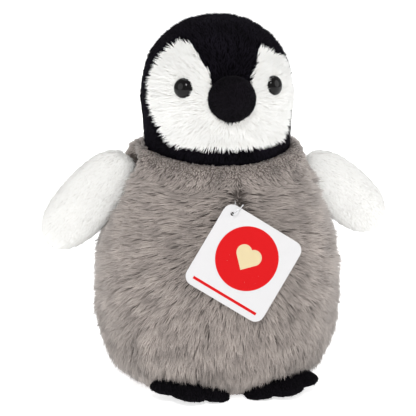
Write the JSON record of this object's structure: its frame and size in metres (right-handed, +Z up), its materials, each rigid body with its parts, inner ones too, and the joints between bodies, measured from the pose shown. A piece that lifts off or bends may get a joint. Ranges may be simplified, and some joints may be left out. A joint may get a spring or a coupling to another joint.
{
  "type": "plush penguin toy",
  "caption": "Soft toy penguin chick with a round furry body, turning head, swinging flippers, toed feet and a square hang tag.",
  "frame": {"origin": "centre of the flat base, on the surface that the toy stands on", "axes": "+Z up, -Y the way the toy faces, +X the toy's own left side"},
  "size_m": [0.1907, 0.133, 0.1968],
  "materials": {
    "grey_plush": "matte",
    "black_plush": "matte",
    "white_plush": "matte",
    "black_velour": "matte",
    "stuffing": "matte",
    "eye_plastic": "gloss",
    "washer_plastic": "matte",
    "pouch_cloth": "matte",
    "granules": "matte",
    "tag_card": "satin",
    "tag_nylon": "satin",
    "label_satin": "satin"
  },
  "bodies": {
    "torso": {"body_front_left_panel": "grey_plush", "body_front_right_panel": "grey_plush", "body_back_left_panel": "grey_plush", "body_back_right_panel": "grey_plush", "base_panel": "grey_plush", "body_stuffing": "stuffing", "granule_pouch": "pouch_cloth", "granule_fill": "granules", "care_label": "label_satin", "foot_left_top": "black_velour", "foot_left_sole": "black_velour", "foot_left_stuffing": "stuffing", "foot_right_top": "black_velour", "foot_right_sole": "black_velour", "foot_right_stuffing": "stuffing", "tag_fastener_bar": "tag_nylon"},
    "neck": {"neck_stuffing": "stuffing"},
    "head": {"neck_band": "black_plush", "forehead_gusset": "black_plush", "head_back_left_panel": "black_plush", "head_back_right_panel": "black_plush", "face_left_panel": "white_plush", "face_right_panel": "white_plush", "head_stuffing": "stuffing", "beak_upper_panel": "black_velour", "beak_lower_panel": "black_velour", "beak_stuffing": "stuffing", "eye_left": "eye_plastic", "eye_right": "eye_plastic", "eye_washer_left": "washer_plastic", "eye_washer_right": "washer_plastic"},
    "flipper_left": {"flipper_left_front_panel": "white_plush", "flipper_left_back_panel": "white_plush", "flipper_left_stuffing": "stuffing"},
    "flipper_right": {"flipper_right_front_panel": "white_plush", "flipper_right_back_panel": "white_plush", "flipper_right_stuffing": "stuffing"},
    "tag_loop": {"tag_fastener_loop": "tag_nylon"},
    "tag": {"tag_card": "tag_card"}
  },
  "joints": [
    {"name": "head_nod", "type": "hinge", "parent": "torso", "child": "neck", "pos_m": [0, 0, 0.15], "axis": [1, 0, 0], "range_deg": [-10, 12], "stiffness_Nm_per_rad": 0.6},
    {"name": "head_turn", "type": "hinge", "parent": "neck", "child": "head", "pos_m": [0, 0, 0.15], "axis": [0, 0, 1], "range_deg": [-25, 25], "stiffness_Nm_per_rad": 0.3},
    {"name": "flipper_left_raise", "type": "hinge", "parent": "torso", "child": "flipper_left", "pos_m": [0.0566, 0, 0.11], "axis": [0.3746, -0.9272, 0], "range_deg": [-7, 68], "stiffness_Nm_per_rad": 0.05},
    {"name": "flipper_right_raise", "type": "hinge", "parent": "torso", "child": "flipper_right", "pos_m": [-0.0566, 0, 0.114], "axis": [0.3746, 0.9272, 0], "range_deg": [-1.5, 75], "stiffness_Nm_per_rad": 0.05},
    {"name": "tag_lift", "type": "hinge", "parent": "torso", "child": "tag_loop", "pos_m": [0, -0.047, 0.107], "axis": [-1, 0, 0], "range_deg": [0, 60]},
    {"name": "tag_swing", "type": "hinge", "parent": "tag_loop", "child": "tag", "pos_m": [-0.0032, -0.0565, 0.1022], "axis": [0, -0.9877, 0.1564], "range_deg": [-25, 25]}
  ]
}
